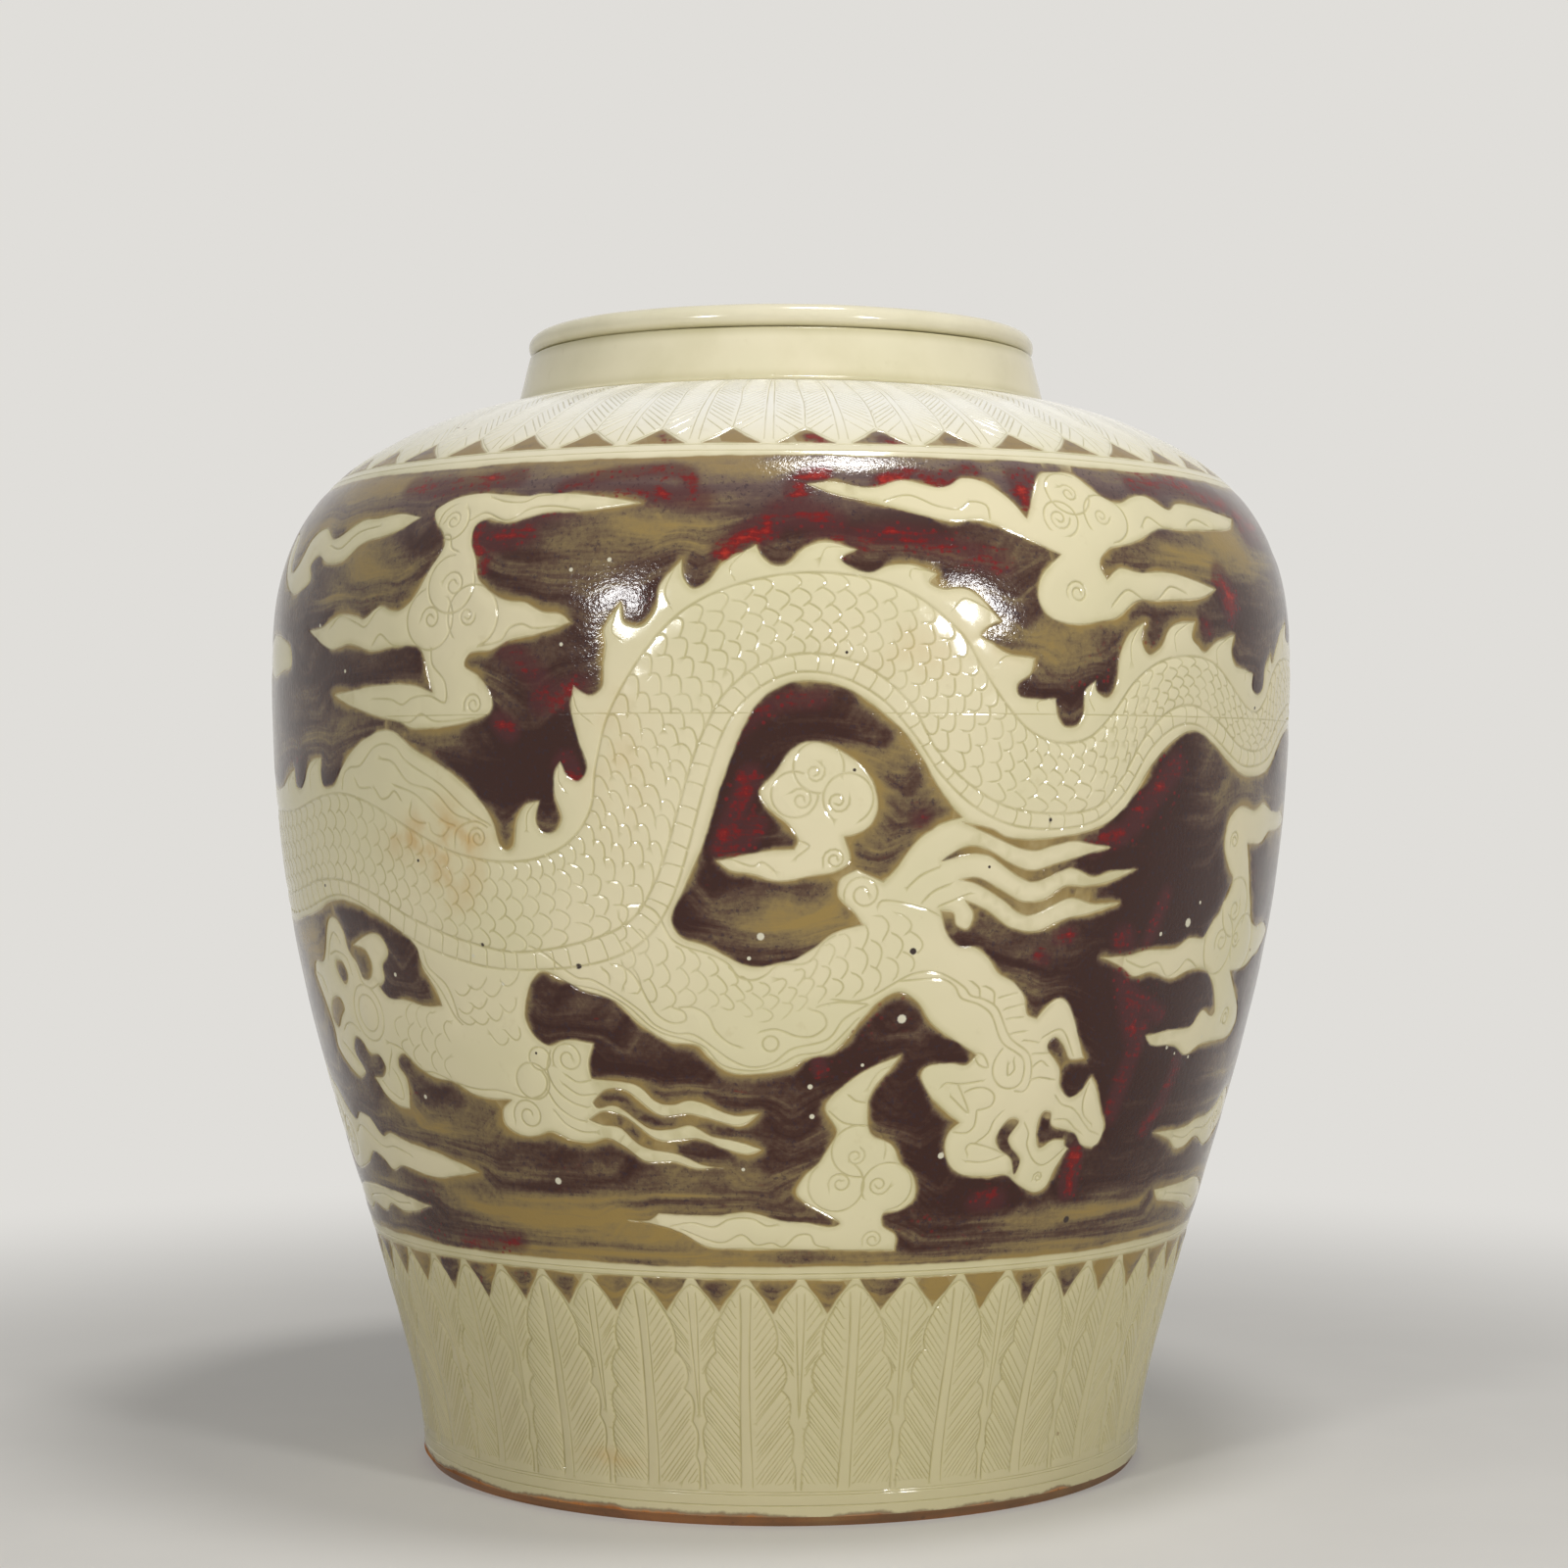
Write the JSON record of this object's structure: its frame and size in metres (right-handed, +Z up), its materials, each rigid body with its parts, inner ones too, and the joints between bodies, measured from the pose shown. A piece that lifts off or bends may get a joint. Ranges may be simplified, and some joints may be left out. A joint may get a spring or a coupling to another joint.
{
  "type": "martaban storage jar",
  "caption": "Large glazed stoneware storage jar with full shoulders, a short collar, a rolled lip and carved ornament, open at the mouth.",
  "frame": {"origin": "middle of the foot, on the surface that the jar stands on", "axes": "+Z up along the jar's axis, -Y towards the front that the picture shows, +X to its right"},
  "size_m": [0.437, 0.437, 0.48],
  "materials": {
    "glazed_clay": "cream glaze over an aubergine brown painted ground, glossy, crazed in places",
    "bare_clay": "bare orange brown stoneware, matt",
    "inner_clay": "thin brown wash over clay, dull"
  },
  "bodies": {
    "root": {"base_disc": "bare_clay", "foot_ring": "glazed_clay", "lower_ring": "glazed_clay", "middle_ring": "glazed_clay", "upper_ring": "glazed_clay", "shoulder": "glazed_clay", "collar": "glazed_clay", "lip": "glazed_clay", "base_joint_coil": "inner_clay", "foot_joint_coil": "inner_clay", "lower_joint_coil": "inner_clay", "belly_joint_coil": "inner_clay", "shoulder_joint_coil": "inner_clay", "collar_joint_coil": "inner_clay"}
  },
  "joints": []
}
